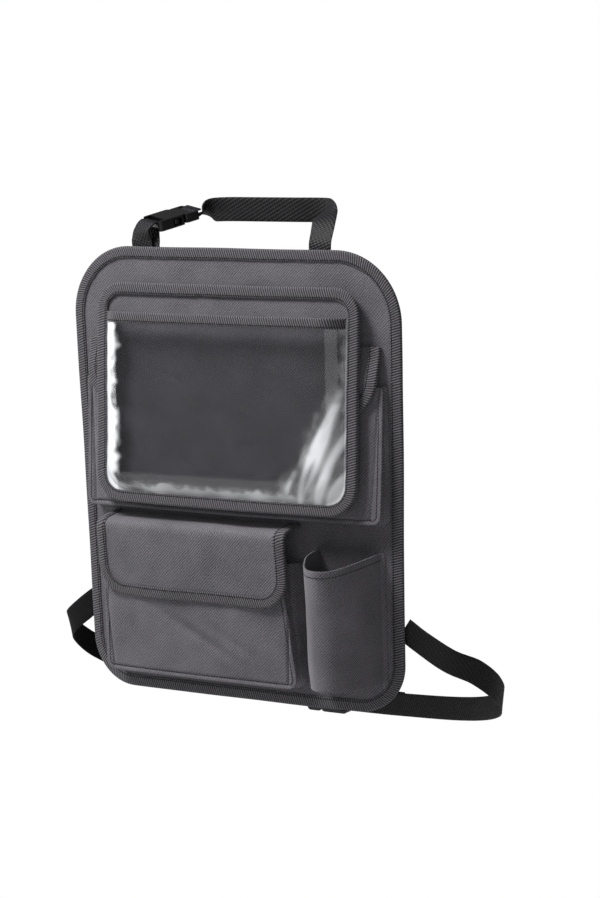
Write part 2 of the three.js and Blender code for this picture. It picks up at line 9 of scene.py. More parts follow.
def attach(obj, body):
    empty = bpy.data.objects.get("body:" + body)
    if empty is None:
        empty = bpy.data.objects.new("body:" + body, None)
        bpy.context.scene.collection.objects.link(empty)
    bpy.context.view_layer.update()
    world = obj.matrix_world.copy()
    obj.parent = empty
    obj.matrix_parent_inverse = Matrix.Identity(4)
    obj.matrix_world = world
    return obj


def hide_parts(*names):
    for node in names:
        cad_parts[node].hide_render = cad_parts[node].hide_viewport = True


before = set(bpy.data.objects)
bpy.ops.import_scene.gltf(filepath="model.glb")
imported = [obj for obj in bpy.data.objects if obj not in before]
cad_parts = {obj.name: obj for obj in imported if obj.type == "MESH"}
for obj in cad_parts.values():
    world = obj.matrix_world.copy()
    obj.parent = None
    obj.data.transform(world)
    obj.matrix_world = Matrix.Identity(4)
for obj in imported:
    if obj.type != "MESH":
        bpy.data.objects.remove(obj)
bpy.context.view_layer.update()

# Car seat back organizer, in the CAD frame. Its sizes are in millimetres, and those of the camera, the
# floor and the lamps in metres, as the meshes are.
mm = 0.001

sheetGoods = {
    "gap": 0.3,
    "cloth": 1.5,
    "film": 0.8,
    "tape": 1.2,
    "tapeWidth": 10.5,
    "mouthTapeWidth": 9,
    "patch": 1.2,
    "webbing": 25,
    "webThick": 1.5,
}
gap = sheetGoods["gap"]
cloth = sheetGoods["cloth"]
film = sheetGoods["film"]
tape = sheetGoods["tape"]
layer = gap + tape
fastener = 3 * gap + 2 * sheetGoods["patch"]  # room for hook and loop between a flap and its pocket


# Camera

camera = {
    "azimuth": 31.8,
    "elevation": 8.5,
    "roll": -1.64,
    "distance": 2.8,
    "target": (0.076, 0, 0.031),
    "lens": 111.77,
}


def addCamera():
    azimuth = math.radians(camera["azimuth"])
    elevation = math.radians(camera["elevation"])
    back = Vector((math.sin(azimuth), -math.cos(azimuth), math.tan(elevation))).normalized()
    right = Vector((math.cos(azimuth), math.sin(azimuth), 0))
    turned = Matrix((right, back.cross(right), back)).transposed()
    turned = turned @ Matrix.Rotation(math.radians(camera["roll"]), 3, "Z")
    data = bpy.data.cameras.new("camera")
    data.sensor_fit = "VERTICAL"
    data.sensor_height = 36
    data.lens = camera["lens"]
    viewer = bpy.data.objects.new("camera", data)
    place = Vector(camera["target"]) + back * camera["distance"]
    viewer.matrix_world = Matrix.Translation(place) @ turned.to_4x4()
    bpy.context.scene.collection.objects.link(viewer)
    bpy.context.scene.camera = viewer


addCamera()


# Materials


def toLinear(colour):
    # sRGB hex to linear, with full alpha
    shares = [int(colour[i : i + 2], 16) / 255 for i in (1, 3, 5)]
    return [s / 12.92 if s <= 0.04045 else ((s + 0.055) / 1.055) ** 2.4 for s in shares] + [1]


def newMaterial(name, settings):
    material = bpy.data.materials.new(name)
    material.use_nodes = True
    shader = material.node_tree.nodes["Principled BSDF"]
    for socket, value in settings.items():
        shader.inputs[socket].default_value = toLinear(value) if isinstance(value, str) else value
    return material, shader


def connect(material, node, links):
    for socket, source in links.items():
        material.node_tree.links.new(source, node.inputs[socket])


def addNode(material, kind, settings=None, links=None):
    # A node with its values, which are inputs or attributes, and its incoming links
    node = material.node_tree.nodes.new(f"ShaderNode{kind}")
    for name, value in (settings or {}).items():
        if isinstance(name, int) or name in node.inputs:
            node.inputs[name].default_value = value
        else:
            setattr(node, name, value)
    connect(material, node, links or {})
    return node


def flatPlace(material, turn=0, stretch=(1, 1)):
    # The piece's own flat coordinates in millimetres, turned and stretched
    coordinates = addNode(material, "TexCoord")
    settings = {"Scale": (stretch[0] / mm, stretch[1] / mm, 1), "Rotation": (0, 0, math.radians(turn))}
    placed = addNode(material, "Mapping", settings, {"Vector": coordinates.outputs["UV"]})
    return placed.outputs["Vector"]


def bands(material, pitch, turn, settings=None):
    # Lines that lie so many millimetres apart, turned by so many degrees
    scale = math.pi / 10 / pitch  # a wave texture's bands are pi/10 apart at scale 1
    values = {"Scale": scale, **(settings or {})}
    links = {"Vector": flatPlace(material, turn)}
    return addNode(material, "TexWave", values, links).outputs["Fac"]


def spots(material, scale, detail, stretch=(1, 1)):
    # Soft random spots, which are finer at a larger scale
    values = {"Scale": scale, "Detail": detail}
    links = {"Vector": flatPlace(material, stretch=stretch)}
    return addNode(material, "TexNoise", values, links).outputs["Fac"]


def paint(material, shader, height, dark, light, relief, low=0.0, high=1.0):
    # Colour and bump from one height pattern
    ramp = addNode(material, "ValToRGB", None, {"Fac": height})
    ramp.color_ramp.elements[0].position = low
    ramp.color_ramp.elements[0].color = toLinear(dark)
    ramp.color_ramp.elements[1].position = high
    ramp.color_ramp.elements[1].color = toLinear(light)
    depth = {"Distance": relief * mm, "Strength": 1.0}
    bump = addNode(material, "Bump", depth, {"Height": height})
    connect(material, shader, {"Base Color": ramp.outputs["Color"], "Normal": bump.outputs["Normal"]})


def blend(material, first, second, share):
    # first + share * second, brought back to the range from 0 to 1
    part = addNode(material, "Math", {"operation": "MULTIPLY", 1: share}, {0: second})
    both = addNode(material, "Math", {"operation": "ADD"}, {0: first, 1: part.outputs[0]})
    whole = addNode(material, "Math", {"operation": "DIVIDE", 1: 1 + share}, {0: both.outputs[0]})
    return whole.outputs[0]


weave = {
    "dark": "#1f1d21",
    "light": "#76737a",
    "pitch": 2.2,
    "crossPitch": 1.8,
    "distortion": 3.0,
    "crossShare": 0.7,
    "fibres": 1.1,
    "wear": 0.35,
    "relief": 0.5,
}


def wovenPolyester():
    # 600 denier polyester, twill woven: a dull grey with fine slanting lines. The real lines are under
    # 1 mm apart, and these are as fine as the picture can show.
    material, shader = newMaterial(
        "wovenPolyester",
        {"Roughness": 0.78, "Specular IOR Level": 0.4, "Sheen Weight": 0.12, "Sheen Roughness": 0.5},
    )
    wander = {"Distortion": weave["distortion"]}
    twill = bands(material, weave["pitch"], 45, {**wander, "Detail": 2.0, "Detail Scale": 1.5})
    picks = bands(material, weave["crossPitch"], -45, {**wander, "Detail": 1.0})
    threads = blend(material, twill, picks, weave["crossShare"])
    rough = blend(material, threads, spots(material, 0.6, 4.0), weave["fibres"])
    surface = blend(material, rough, spots(material, 0.02, 3.0), weave["wear"])
    paint(material, shader, surface, weave["dark"], weave["light"], weave["relief"], 0.28, 0.72)
    return material


ribs = {"dark": "#1a181c", "light": "#757278", "pitch": 2.5, "fibres": 1.0, "relief": 0.5}


def grosgrainTape():
    # Grosgrain ribbon, woven with ribs across it: darker and rougher than the cloth. Its ribs are about
    # 1 mm apart, and are drawn wider so that they show.
    material, shader = newMaterial(
        "grosgrainTape",
        {"Roughness": 0.75, "Specular IOR Level": 0.35, "Sheen Weight": 0.1, "Sheen Roughness": 0.5},
    )
    wander = {"Distortion": 1.5, "Detail": 2.0, "Detail Scale": 1.2}
    across = bands(material, ribs["pitch"], 18, wander)
    surface = blend(material, across, spots(material, 0.9, 3.0), ribs["fibres"])
    paint(material, shader, surface, ribs["dark"], ribs["light"], ribs["relief"], 0.38, 0.85)
    return material


webs = {"dark": "#070608", "light": "#201e22", "pitch": 2.8, "ridge": 3.6, "share": 0.8, "relief": 0.5}


def wovenWebbing():
    # Polypropylene webbing, woven with thick ribs: black with small bright bumps where the yarns turn
    material, shader = newMaterial("wovenWebbing", {"Roughness": 0.55, "Specular IOR Level": 0.25})
    across = bands(material, webs["pitch"], 20)
    along = bands(material, webs["ridge"], -62)
    surface = blend(material, across, along, webs["share"])
    paint(material, shader, surface, webs["dark"], webs["light"], webs["relief"], 0.3, 0.95)
    return material


braid = {"dark": "#050406", "light": "#100f12", "pitch": 2.2, "relief": 0.2}


def braidedElastic():
    # Braided polyester elastic: flatter and blacker than webbing, with fine lines along it
    material, shader = newMaterial("braidedElastic", {"Roughness": 0.75, "Specular IOR Level": 0.12})
    cords = bands(material, braid["pitch"], 90)
    paint(material, shader, cords, braid["dark"], braid["light"], braid["relief"])
    return material


def mouldedAcetal():
    # Moulded acetal: near black and smooth, with a clear soft shine
    material, _ = newMaterial("mouldedAcetal", {"Base Color": "#0d0d10", "Roughness": 0.28, "IOR": 1.48})
    return material


def nylonPile():
    # Hook and loop pile, woven nylon: black and matt
    material, shader = newMaterial("nylonPile", {"Roughness": 0.95, "Specular IOR Level": 0.2})
    place = addNode(material, "TexCoord")
    loops = {"Scale": 900.0, "Detail": 2.0}
    grain = addNode(material, "TexNoise", loops, {"Vector": place.outputs["Object"]})
    paint(material, shader, grain.outputs["Fac"], "#0c0c0e", "#2a2a2e", 0.4)
    return material


def spunThread():
    # Spun polyester thread: nearly black, so that a seam reads as a fine dark line
    look = {"Base Color": "#121014", "Roughness": 0.7, "Specular IOR Level": 0.3}
    material, _ = newMaterial("spunThread", look)
    return material


def calenderedVinyl():
    # Calendered vinyl film: clear and glossy. Its colour turns whitish near its seams where an attribute
    # marks painted glare, which stands in for the lamps' white reflections where the film bends. A low
    # alpha lets the cloth behind show, and the high IOR makes up for the shine that the alpha takes away.
    # Slow waves from the roll bend its reflections.
    material, shader = newMaterial("calenderedVinyl", {"IOR": 2.2})
    glare = addNode(material, "Attribute", {"attribute_name": "glare"}).outputs["Fac"]
    ramp = addNode(material, "ValToRGB", None, {"Fac": glare})
    # painted glare: the film's plain dark tint, turning white where the glare mask is high
    ramp.color_ramp.elements[0].color = toLinear("#303135")
    ramp.color_ramp.elements[1].color = toLinear("#eceef1")
    cover = addNode(material, "MapRange", {"To Min": 0.28, "To Max": 0.88}, {"Value": glare})
    haze = addNode(material, "MapRange", {"To Min": 0.1, "To Max": 0.45}, {"Value": glare})
    depth = {"Distance": 1.2 * mm, "Strength": 0.5}
    bump = addNode(material, "Bump", depth, {"Height": spots(material, 0.035, 1.0, (1, 0.6))})
    connect(material, shader, {"Base Color": ramp.outputs["Color"], "Normal": bump.outputs["Normal"]})
    connect(material, shader, {"Alpha": cover.outputs["Result"], "Roughness": haze.outputs["Result"]})
    return material


polyester = wovenPolyester()
grosgrain = grosgrainTape()
webbing = wovenWebbing()
elastic = braidedElastic()
acetal = mouldedAcetal()
pile = nylonPile()
thread = spunThread()
vinyl = calenderedVinyl()
print("materials ready")


# Mesh helpers


def newObject(name, bm, material):
    mesh = bpy.data.meshes.new(name)
    bm.to_mesh(mesh)
    bm.free()
    mesh.shade_smooth()
    mesh.materials.append(material)
    made = bpy.data.objects.new(name, mesh)
    bpy.context.scene.collection.objects.link(made)
    return made


def finishPiece(name, bm, material, slotName, nodes=(), thick=0, rounding=0.3, offset=0.0, evenWall=True):
    # A piece with its wall and soft edges, set under the root body, with the frame's parts that it stands
    # for hidden
    piece = newObject(name, bm, material)
    if thick:
        wall = piece.modifiers.new("thickness", "SOLIDIFY")
        wall.thickness = thick * mm
        wall.offset = offset
        wall.use_even_offset = evenWall
    if thick and rounding:
        edges = piece.modifiers.new("soft edges", "BEVEL")
        edges.width = rounding * mm
        edges.segments = 2
        edges.limit_method = "ANGLE"
        edges.angle_limit = math.radians(60)
    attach(piece, "root")
    if nodes:
        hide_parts(*nodes)
    return piece


def clothPiece(name, bm, node):
    return finishPiece(name, bm, polyester, "cloth", [node], cloth)


def gridMesh(columns, rows, at, closed=False):
    # A grid whose corner (i, j) goes to at(i, j), a place and its flat coordinates in millimetres
    bm = bmesh.new()
    bmesh.ops.create_grid(bm, x_segments=columns, y_segments=rows, size=0.5)
    flat = bm.loops.layers.uv.new("flat")
    found = {v: at(round((v.co.x + 0.5) * columns), round((v.co.y + 0.5) * rows)) for v in bm.verts}
    for face in bm.faces:
        for loop in face.loops:
            loop[flat].uv = Vector(found[loop.vert][1]) * mm
    for vert, (place, _) in found.items():
        vert.co = place * mm
    if closed:
        bmesh.ops.remove_doubles(bm, verts=bm.verts, dist=0.02 * mm)
    return bm


def smooth(share):
    share = min(max(share, 0), 1)
    return share * share * (3 - 2 * share)


def lerp(a, b, share):
    return a + (b - a) * share


def hump(distance, width):
    # A round rise that is 1 at its middle and falls to 0
    return math.exp(-((distance / width) ** 2))


def runningLengths(points):
    # The length along a line of points, up to each of them
    lengths = [0.0]
    for start, end in zip(points, points[1:]):
        lengths.append(lengths[-1] + (end - start).length)
    return lengths


def ripple(a, b, size, seed=0.0):
    # A gentle unevenness of cloth, from -1 to 1
    return noise.noise(Vector((a / size, b / size, seed)))


# Outlines in a sheet's own plane: a is to the right and b is up


def normalOf(start, end):
    return Vector((end[1] - start[1], start[0] - end[0])).normalized()


def roundedPath(corners, closed=True, step=5.0):
    # Stations along an outline that runs anticlockwise, as (point, outward direction, length so far)
    ends = []
    for i, (a, b, radius) in enumerate(corners):
        before = normalOf(corners[i - 1], corners[i])
        after = normalOf(corners[i], corners[(i + 1) % len(corners)])
        if not closed and i in (0, len(corners) - 1):
            ends.append((Vector((a, b)), after if i == 0 else before))
            continue
        centre = Vector((a, b)) - (before + after) * (radius / (1 + before.dot(after)))
        start = math.atan2(before.y, before.x)
        turn = math.acos(before.dot(after))
        bends = max(2, round(radius * turn / step))
        for k in range(bends + 1):
            angle = start + turn * k / bends
            outward = Vector((math.cos(angle), math.sin(angle)))
            ends.append((centre + outward * radius, outward))
    if closed:
        ends.append(ends[0])
    stations = [(*ends[0], 0.0)]
    for point, outward in ends[1:]:
        last, lastOutward, length = stations[-1]
        parts = max(1, round((point - last).length / step))
        for k in range(1, parts + 1):
            here = last.lerp(point, k / parts)
            facing = lastOutward.lerp(outward, k / parts).normalized()
            stations.append((here, facing, length + (point - last).length * k / parts))
    return stations


def pathAt(stations, share):
    # The point at a share of a path's length
    wanted = stations[-1][2] * min(max(share, 0), 1)
    for (start, _, before), (end, _, after) in zip(stations, stations[1:]):
        if after >= wanted and after > before:
            return start.lerp(end, (wanted - before) / (after - before))
    return stations[-1][0]


def spanAt(stations, b):
    # The left and right ends of an outline at height b
    found = []
    for (start, _, _), (end, _, _) in zip(stations, stations[1:]):
        if start.y != end.y and min(start.y, end.y) <= b <= max(start.y, end.y):
            found.append(lerp(start.x, end.x, (b - start.y) / (end.y - start.y)))
    return min(found), max(found)


def evenCorners(low, high):
    # The corners of a sheet with two like sides, from its half width, height and radius at both ends
    ends = ((-1, low), (1, low), (1, high), (-1, high))
    return [(side * half, b, radius) for side, (half, b, radius) in ends]


def closer(share):
    # Turns even steps from 0 to 1 into steps that are closer together near both ends
    return lerp(share, 0.5 - 0.5 * math.cos(math.pi * share), 0.6)


def sheetMesh(corners, columns, rows, surface):
    # A sheet of cloth cut to a rounded outline and laid on surface(a, b, out)
    stations = roundedPath(corners, step=1.5)
    heights = [point.y for point, _, _ in stations]
    low, high = min(heights) + 0.01, max(heights) - 0.01
    spans = []
    for j in range(rows + 1):
        b = lerp(low, high, closer(j / rows))
        spans.append((b, *spanAt(stations, b)))

    def at(i, j):
        b, left, right = spans[j]
        a = lerp(left, right, closer(i / columns))
        return surface(a, b, 0), (a, b)

    return gridMesh(columns, rows, at)


tapeFold = {"tuck": 0.35, "tuckWidth": 1.2, "crown": 0.1, "lip": 1.5, "pucker": 0.3, "wander": 0.7}


def tapeProfile(halfCore, width):
    # Tape folded round an edge, as (outward, height) from the front's inner edge to the back's
    front = [
        (-width, halfCore - tapeFold["tuck"]),
        (-width + tapeFold["tuckWidth"], halfCore),
        (-width / 2, halfCore + tapeFold["crown"]),
        (-tapeFold["lip"], halfCore),
    ]
    back = [(out, -height) for out, height in reversed(front)]
    reach = gap + tape / 2
    turn = [math.radians(90 - 30 * k) for k in range(1, 6)]
    bend = [(reach * math.cos(angle), halfCore * math.sin(angle)) for angle in turn]
    return front + [(0, halfCore)] + bend + [(0, -halfCore)] + back


def tapeMesh(stations, surface, core, width, closed=True):
    # Binding tape along a path, folded round the edge of a sheet of thickness core
    profile = tapeProfile(core / 2 + gap + tape / 2, width)
    across = runningLengths([Vector(p) for p in profile])
    along = runningLengths([surface(point.x, point.y, 0) for point, _, _ in stations])

    def at(i, j):
        point, outward, length = stations[i]
        out, height = profile[j]
        inner = smooth((-out - 4) / 6)
        pucker = tapeFold["pucker"] * inner * ripple(length, 0, 6, 51)
        edge = point + outward * (out + tapeFold["wander"] * inner * ripple(length, 0, 13, 52))
        side = 1 if height > 0 else -1
        return surface(edge.x, edge.y, height + side * pucker), (along[i], across[j])

    bm = gridMesh(len(stations) - 1, len(profile) - 1, at, closed)
    bmesh.ops.reverse_faces(bm, faces=bm.faces)
    return bm


stitch = {"length": 2.6, "pitch": 3.4, "radius": 0.4, "inset": 1.9}


def stitchMesh(line):
    # Stitches along a line of points, as short rods
    bm = bmesh.new()
    travelled, wanted = 0.0, stitch["pitch"] / 2
    for start, end in zip(line, line[1:]):
        span = (end - start).length
        while span > 0 and wanted <= travelled + span:
            middle = start.lerp(end, (wanted - travelled) / span)
            facing = (end - start).to_track_quat("Z", "Y").to_matrix().to_4x4()
            bmesh.ops.create_cone(
                bm,
                cap_ends=True,
                segments=6,
                radius1=stitch["radius"] * mm,
                radius2=stitch["radius"] * mm,
                depth=stitch["length"] * mm,
                matrix=Matrix.Translation(middle * mm) @ facing,
            )
            wanted += stitch["pitch"]
        travelled += span
    return bm


def edgeStitches(name, stations, surface, inset, height):
    line = []
    for point, outward, _ in stations:
        edge = point - outward * inset
        line.append(surface(edge.x, edge.y, height))
    finishPiece(name, stitchMesh(line), thread, "binding_tape")


def bound(name, stations, surface, core, nodes, width=sheetGoods["tapeWidth"], closed=True):
    # A sheet's binding tape with its row of stitches
    bm = tapeMesh(stations, surface, core, width, closed)
    piece = finishPiece(name, bm, grosgrain, "binding_tape", nodes, tape, rounding=0.25)
    edgeStitches(f"{name}Stitches", stations, surface, width - stitch["inset"], core / 2 + layer + 0.1)
    return piece


# The panel

panel = {
    "thick": 3,
    "rim": 1.5,
    "halfTop": 194,
    "halfBottom": 187.5,
    "top": 230.5,
    "bottom": -231.5,
    "topRadius": 70,
    "bottomRadius": 50,
    "wrapLeft": 2,  # how far its left side falls back at the top, then its right side and its foot
    "wrapRight": 6,
    "wrapLow": 7,
    "drift": 1.3,  # how far the cloth wanders in its own plane
    "unevenness": 1.4,
    "calm": 12,  # it lies still this near its edge, and grows loose over the next width
    "loosening": 30,
}
onPanel = -panel["thick"] - gap - cloth / 2  # the middle of a cloth that lies on the panel


def settled(a, y, b):
    # A place on the organizer, with the fall of its sides and the drift of its cloth
    upward = smooth((b - panel["bottom"]) / (panel["top"] - panel["bottom"]))
    high = panel["wrapRight"] if a > 0 else panel["wrapLeft"]
    fall = lerp(panel["wrapLow"], high, upward) * min(abs(a) / panel["halfTop"], 1) ** 4
    sideways = panel["drift"] * ripple(a, b, 110, 41)
    upwards = panel["drift"] * ripple(a, b, 110, 42)
    return Vector((a + sideways, y + fall, b + upwards))


def panelSurface(a, b, out):
    return settled(a, -panel["thick"] + panel["rim"] / 2 - out, b)


def addPanel():
    foot = (panel["halfBottom"], panel["bottom"], panel["bottomRadius"])
    head = (panel["halfTop"], panel["top"], panel["topRadius"])
    corners = evenCorners(foot, head)
    stations = roundedPath(corners)

    def front(a, b, out):
        near = min(a + panel["halfBottom"], panel["halfBottom"] - a, panel["top"] - b, b - panel["bottom"])
        loose = smooth((near - panel["calm"]) / panel["loosening"]) * panel["unevenness"]
        waves = ripple(a, b, 70) + 0.25 * ripple(a, b, 24, 4)
        return panelSurface(a, b, panel["rim"] / 2 + loose * (0.4 + waves))

    bm = sheetMesh(corners, 84, 100, front)
    piece = finishPiece("panelCloth", bm, polyester, "cloth", ["back_panel"], panel["thick"], 0, -1.0)
    # The panel is thinner along its edge, where the tape folds round it
    fullness = piece.vertex_groups.new(name="fullness")
    for vert in piece.data.vertices:
        a, b = vert.co.x / mm, vert.co.z / mm
        middle = smooth((min(panel["halfBottom"] - abs(a), panel["top"] - b, b - panel["bottom"]) - 9) / 8)
        corner = smooth((panel["halfTop"] + 14 - math.hypot(a, max(abs(b) - 150, 0) * 1.9)) / 20)
        share = lerp(panel["rim"] / panel["thick"], 1, middle * corner)
        fullness.add([vert.index], share, "REPLACE")
    piece.modifiers["thickness"].vertex_group = "fullness"
    binding = bound("panelTape", stations, panelSurface, panel["rim"], ["panel_binding"])


addPanel()
print("panel ready")


# Pockets

widePocket = {
    "left": -174,
    "right": 174,
    "top": 98,
    "bottom": -35,
    "radius": 9,
    "mouthDepth": 7,
    "bottomDepth": 18,
    "flare": 4,
    "drop": 6,
    "seamEdge": 2.5,
    "leanLeft": 0,
    "leanRight": 0,
    "bulge": 0.6,
    "sink": 2.2,
    "folds": [],
}

smallPocket = {
    "left": -154.5,
    "right": 78,
    "top": -84,
    "bottom": -208.5,
    "radius": 10,
    "mouthDepth": 28,
    "bottomDepth": 22,
    "flare": 1,
    "drop": 5,
    "seamEdge": 2.5,
    "leanLeft": 7,  # how far its sides lean inwards on their way up
    "leanRight": 13,
    "bulge": 4,
    "sink": 4.5,
    "folds": [
        {"depth": 3.0, "away": 0, "width": 5.5, "along": 0, "length": 60},
        {"depth": 1.8, "away": 17, "width": 5, "along": 35, "length": 30},
    ],
}


# The groove that the seam pulls into a pocket's front, and the waves and wrinkles in the front's cloth
seamGroove = {"inset": 4.2, "width": 1.3, "depth": 2.0}
slack = {"wave": 1.5, "waveSize": 42, "wrinkle": 0.4, "wrinkleSize": 17}


def pocketFace(pocket, b):
    share = (b - pocket["bottom"]) / (pocket["top"] - pocket["bottom"])
    return -panel["thick"] - lerp(pocket["bottomDepth"], pocket["mouthDepth"], share)


def leaningPlane(pocket):
    # place(a, out, up) on the pocket's front, where up is from its bottom
    low = pocketFace(pocket, pocket["bottom"])
    high = pocketFace(pocket, pocket["top"])
    turn = Matrix.Rotation(math.atan2(low - high, pocket["top"] - pocket["bottom"]), 3, "X")

    def place(a, out, up):
        spot = turn @ Vector((a, -out, up))
        return settled(a, low + spot.y, pocket["bottom"] + spot.z)

    return place


widePlane = leaningPlane(widePocket)
smallPlane = leaningPlane(smallPocket)


slant = {"right": 0.88, "down": 0.47, "through": (-62, 58), "middle": (-30, 45)}


def foldDepth(folds, a, b):
    # How deep the folds that slant across a pocket's front are
    right, down = slant["right"], slant["down"]
    away = (a - slant["through"][0]) * down + (b - slant["through"][1]) * right
    along = (a - slant["middle"][0]) * right - (b - slant["middle"][1]) * down
    depth = 0
    for fold in folds:
        side = hump(away - fold["away"], fold["width"])
        depth += fold["depth"] * side * hump(along - fold["along"], fold["length"])
    return depth


def addPocket(name, pocket, plane, nodes):
    rise = pocket["top"] - pocket["bottom"]
    edge = pocket["seamEdge"]
    left, right = pocket["left"] - edge, pocket["right"] + edge
    corners = [
        (left, -edge, pocket["radius"]),
        (right, -edge, pocket["radius"]),
        (right - pocket["leanRight"], rise, 2),
        (left + pocket["leanLeft"], rise, 2),
    ]
    half = (right - left) / 2
    middle = (right + left) / 2

    def front(a, b, out):
        across = min(abs(a - middle) / half, 1)
        upward = min(max(b / rise, 0), 1)
        full = (1 - across**4) * math.sin(math.pi * min(upward + 0.12, 1)) ** 0.7
        soft = smooth((half - abs(a - middle)) / 25) * smooth(b / 25)
        inset = min(half - abs(a - middle) - 0.05 * (rise - b), b + edge)
        groove = seamGroove["depth"] * hump(inset - seamGroove["inset"], seamGroove["width"])
        waves = slack["wave"] * ripple(a, b, slack["waveSize"], 3)
        wrinkles = slack["wrinkle"] * ripple(a, b, slack["wrinkleSize"], 6)
        loose = waves + wrinkles - foldDepth(pocket["folds"], a, b)
        body = pocket["bulge"] * full - groove + soft * loose
        return plane(a, body - cloth / 2 + out, b)

    bm = sheetMesh(corners, 130, 80, front)
    piece = clothPiece(f"{name}Front", bm, nodes[0])

    def uLine(wide, drop, leanLeft, leanRight):
        low = pocket["bottom"] - drop
        left, right = pocket["left"] - wide, pocket["right"] + wide
        return roundedPath(
            [
                (left + leanLeft, pocket["top"], 0),
                (left, low, pocket["radius"]),
                (right, low, pocket["radius"]),
                (right - leanRight, pocket["top"], 0),
            ],
            closed=False,
            step=3.0,
        )

    atPanel = uLine(pocket["flare"], pocket["drop"], 0, 0)
    atFront = uLine(0, 0, pocket["leanLeft"], pocket["leanRight"])
    lipped = uLine(edge, edge, pocket["leanLeft"], pocket["leanRight"])
    columns, rows = 150, 28
    length = atPanel[-1][2]

    def wall(i, j):
        share = i / columns
        foot, head, lip = (pathAt(line, share) for line in (atPanel, atFront, lipped))
        start = settled(foot.x, onPanel, foot.y)
        end = settled(head.x, pocketFace(pocket, head.y) + 1.7 * cloth + gap, head.y)
        turned = settled(lip.x, pocketFace(pocket, lip.y) + 1.5 * cloth + gap, lip.y)
        across = j / (rows - 2)
        flat = (share * length, j * (end - start).length / rows)
        if across > 1:
            return end.lerp(turned, (j - rows + 2) / 2), flat
        inward = (Vector((0, 0, pocket["top"])) - end).normalized()
        inward.y = 0
        fold = 1 - abs(2 * across - 1) ** 1.4
        pleat = 0.9 * hump(across - 0.55, 0.08)  # it runs along the wall's middle
        hollow = pocket["sink"] * (fold * (0.6 + 0.6 * ripple(share * length, across, 26, 7)) + pleat)
        return start.lerp(end, across) + inward * hollow, flat

    bm = gridMesh(columns, rows, wall)
    gusset = clothPiece(f"{name}Gusset", bm, nodes[1])
    seamLine = [p for p in roundedPath(corners, step=4.0) if p[0].y < rise - 3]
    left = [p for p in seamLine if p[0].x < middle]
    right = [p for p in seamLine if p[0].x >= middle]
    for side, line in (("Left", left), ("Right", right)):
        run = [front(*(p - n * (edge + 1.7)), cloth / 2 + 0.1) for p, n, _ in line]
        finishPiece(f"{name}Stitches{side}", stitchMesh(run), thread, "cloth")


addPocket("widePocket", widePocket, widePlane, ["upper_pocket_front", "upper_pocket_gusset"])
addPocket("smallPocket", smallPocket, smallPlane, ["lower_pocket_front", "lower_pocket_gusset"])
print("pockets ready")


# Flaps

wideFlap = {"rise": 39, "hem": 62, "margin": 2.5, "radius": 48, "wave": 0.3}
smallFlap = {
    "rise": 38,
    "fold": 4,
    "hem": -127,
    "marginLeft": -3.5,
    "marginRight": 11,
    "radius": 32,
    "bend": 9,
    "wave": 1.3,
    "wrinkle": 0.3,
    "bulge": 2.4,
    "bulgeHalfWidth": 115,
    "bulgeLength": 105,
    "curl": 3,  # its left edge bends back over the pocket's, from curlFrom inside the edge on
    "curlFrom": 8,
    "curlWidth": 12,
}


def flapOver(pocket, b):
    return pocketFace(pocket, b) - fastener - cloth / 2


def profileSurface(points):
    # surface(a, b, out) over a profile of (y, z) points, where -b is the length from the seam
    line = [Vector(p) for p in points]
    lengths = runningLengths(line)

    def surface(a, b, out):
        wanted = min(max(-b, 0), lengths[-1])
        k = next(i for i in range(1, len(line)) if lengths[i] >= wanted)
        span = lengths[k] - lengths[k - 1]
        share = (wanted - lengths[k - 1]) / span
        before = line[max(k - 1, 1)] - line[max(k - 2, 0)]
        after = line[min(k + 1, len(line) - 1)] - line[k]
        heading = before.normalized().lerp((line[k] - line[k - 1]).normalized(), 0.5)
        if after.length:
            heading = heading.lerp(after.normalized(), share * 0.5)
        heading.normalize()
        beyond = -b - wanted
        spot = line[k - 1].lerp(line[k], share) + heading * beyond
        away = Vector((heading.y, -heading.x))  # to the front of a flap that hangs down
        return settled(a, spot.x + away.x * out, spot.y + away.y * out)

    return surface, lengths[-1]


def bent(start, handleA, handleB, end, steps):
    points = [Vector((p[0], p[1], 0)) for p in (start, handleA, handleB, end)]
    return [(p.x, p.y) for p in interpolate_bezier(*points, steps)]


def wideFlapProfile():
    seam = widePocket["top"] + wideFlap["rise"]
    knee = widePocket["top"] + 4
    curl = 12
    atPanel = -panel["thick"] - gap - layer - cloth / 2
    points = bent(
        (atPanel, seam),
        (atPanel, seam - curl),
        (flapOver(widePocket, knee + curl), knee + curl),
        (flapOver(widePocket, knee), knee),
        14,
    )
    return points + [(flapOver(widePocket, wideFlap["hem"]), wideFlap["hem"])]


def smallFlapProfile():
    seam = smallPocket["top"] + smallFlap["rise"]
    fold = seam - smallFlap["fold"]
    crest = flapOver(smallPocket, fold)
    bend = smallFlap["bend"]
    start = (crest + bend, fold + 0.6)
    end = (flapOver(smallPocket, fold - bend), fold - bend)
    turn = bent(start, (crest + bend / 3, fold + 0.2), (crest, fold - bend / 3), end, 12)
    hem = smallFlap["hem"]
    return [(-panel["thick"] - gap - layer, seam)] + turn + [(flapOver(smallPocket, hem), hem)]


def addFlap(name, profile, left, right, radius, nodes, life):
    surface, length = profileSurface(profile)

    def lively(a, b, out):
        return surface(a, b, out + life(a, b))

    corners = [(left, -length, radius), (right, -length, radius), (right, 0, 1), (left, 0, 1)]
    bm = sheetMesh(corners, 80, 60, lively)
    piece = clothPiece(f"{name}Cloth", bm, nodes[0])
    run = [(left, 0, 0), (left, -length, radius), (right, -length, radius), (right, 0, 0)]
    stations = roundedPath(run, closed=False, step=4.0)
    binding = bound(f"{name}Tape", stations, lively, cloth, [nodes[1]], closed=False)


def wideFlapLife(a, b):
    return wideFlap["wave"] * ripple(a, b, 50, 5)


